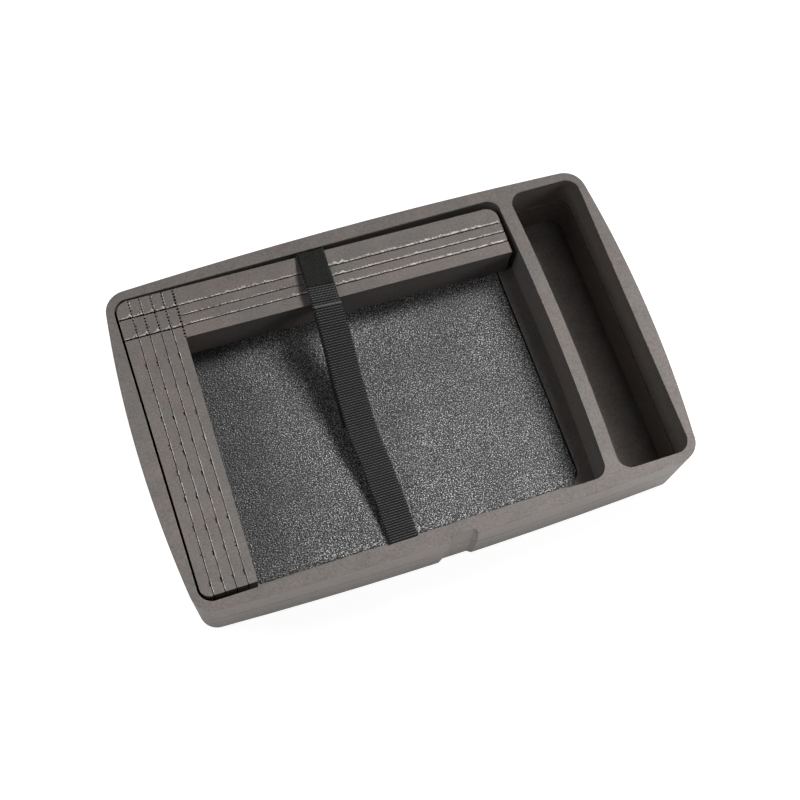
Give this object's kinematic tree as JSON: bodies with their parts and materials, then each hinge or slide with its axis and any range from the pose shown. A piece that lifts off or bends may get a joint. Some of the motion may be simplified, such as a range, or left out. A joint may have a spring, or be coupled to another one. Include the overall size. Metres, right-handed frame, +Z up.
{
  "type": "case divider set",
  "caption": "Foam divider tray for a laptop case, with a strapped bay, an L-shaped tear-off divider, a loose pad and an accessory pocket.",
  "frame": {"origin": "under the middle of the base, on the surface that the tray stands on", "axes": "+X along the long side towards the accessory pocket, +Y to the back, +Z up out of the bays"},
  "size_m": [0.451, 0.2935, 0.0809],
  "materials": {
    "foam": "closed-cell foam, cut faces",
    "pad_foam": "coarse charcoal foam",
    "webbing": "ribbed woven webbing",
    "tape": "hook-and-loop tape"
  },
  "bodies": {
    "tray": {"floor_sheet": "foam", "lower_back_rail": "foam", "lower_front_rail": "foam", "lower_left_rail": "foam", "lower_partition": "foam", "lower_right_rail": "foam", "upper_back_rail": "foam", "upper_front_rail": "foam", "upper_left_rail": "foam", "upper_partition": "foam", "upper_right_rail": "foam", "bay_pad": "pad_foam", "back_strip_1": "foam", "back_strip_2": "foam", "back_strip_3": "foam", "back_strip_4": "foam", "front_strap_tail": "webbing", "rear_strap_tail": "webbing"},
    "front_strap_half": {"front_strap": "webbing", "hook_tape": "tape"},
    "rear_strap_half": {"rear_strap": "webbing", "loop_tape": "tape", "loop_lead": "tape"},
    "divider_column_1": {"left_strip_1": "foam", "corner_block_1_1": "foam", "corner_block_2_1": "foam"},
    "divider_column_2": {"left_strip_2": "foam", "corner_block_1_2": "foam", "corner_block_2_2": "foam"},
    "divider_column_3": {"left_strip_3": "foam", "corner_block_1_3": "foam", "corner_block_2_3": "foam"},
    "divider_column_4": {"left_strip_4": "foam", "corner_block_1_4": "foam", "corner_block_2_4": "foam"},
    "divider_column_5": {"left_strip_5": "foam", "corner_block_1_5": "foam", "corner_block_2_5": "foam"}
  },
  "joints": [
    {"name": "front_strap_hinge", "type": "hinge", "parent": "tray", "child": "front_strap_half", "pos_m": [-0.0375, -0.13295, 0.04095], "axis": [1, 0, 0], "range_deg": [0, 75]},
    {"name": "rear_strap_hinge", "type": "hinge", "parent": "tray", "child": "rear_strap_half", "pos_m": [-0.0375, 0.133, 0.07795], "axis": [-1, 0, 0], "range_deg": [0, 52.5]},
    {"name": "column_1_lift", "type": "slide", "parent": "tray", "child": "divider_column_1", "axis": [0, 0, 1], "range_m": [0, 0.05]},
    {"name": "column_2_lift", "type": "slide", "parent": "tray", "child": "divider_column_2", "axis": [0, 0, 1], "range_m": [0, 0.05]},
    {"name": "column_3_lift", "type": "slide", "parent": "tray", "child": "divider_column_3", "axis": [0, 0, 1], "range_m": [0, 0.05]},
    {"name": "column_4_lift", "type": "slide", "parent": "tray", "child": "divider_column_4", "axis": [0, 0, 1], "range_m": [0, 0.05]},
    {"name": "column_5_lift", "type": "slide", "parent": "tray", "child": "divider_column_5", "axis": [0, 0, 1], "range_m": [0, 0.05]}
  ],
  "couplings": [
    {"joint": "rear_strap_hinge", "follows": "front_strap_hinge", "ratio": 0.7}
  ]
}
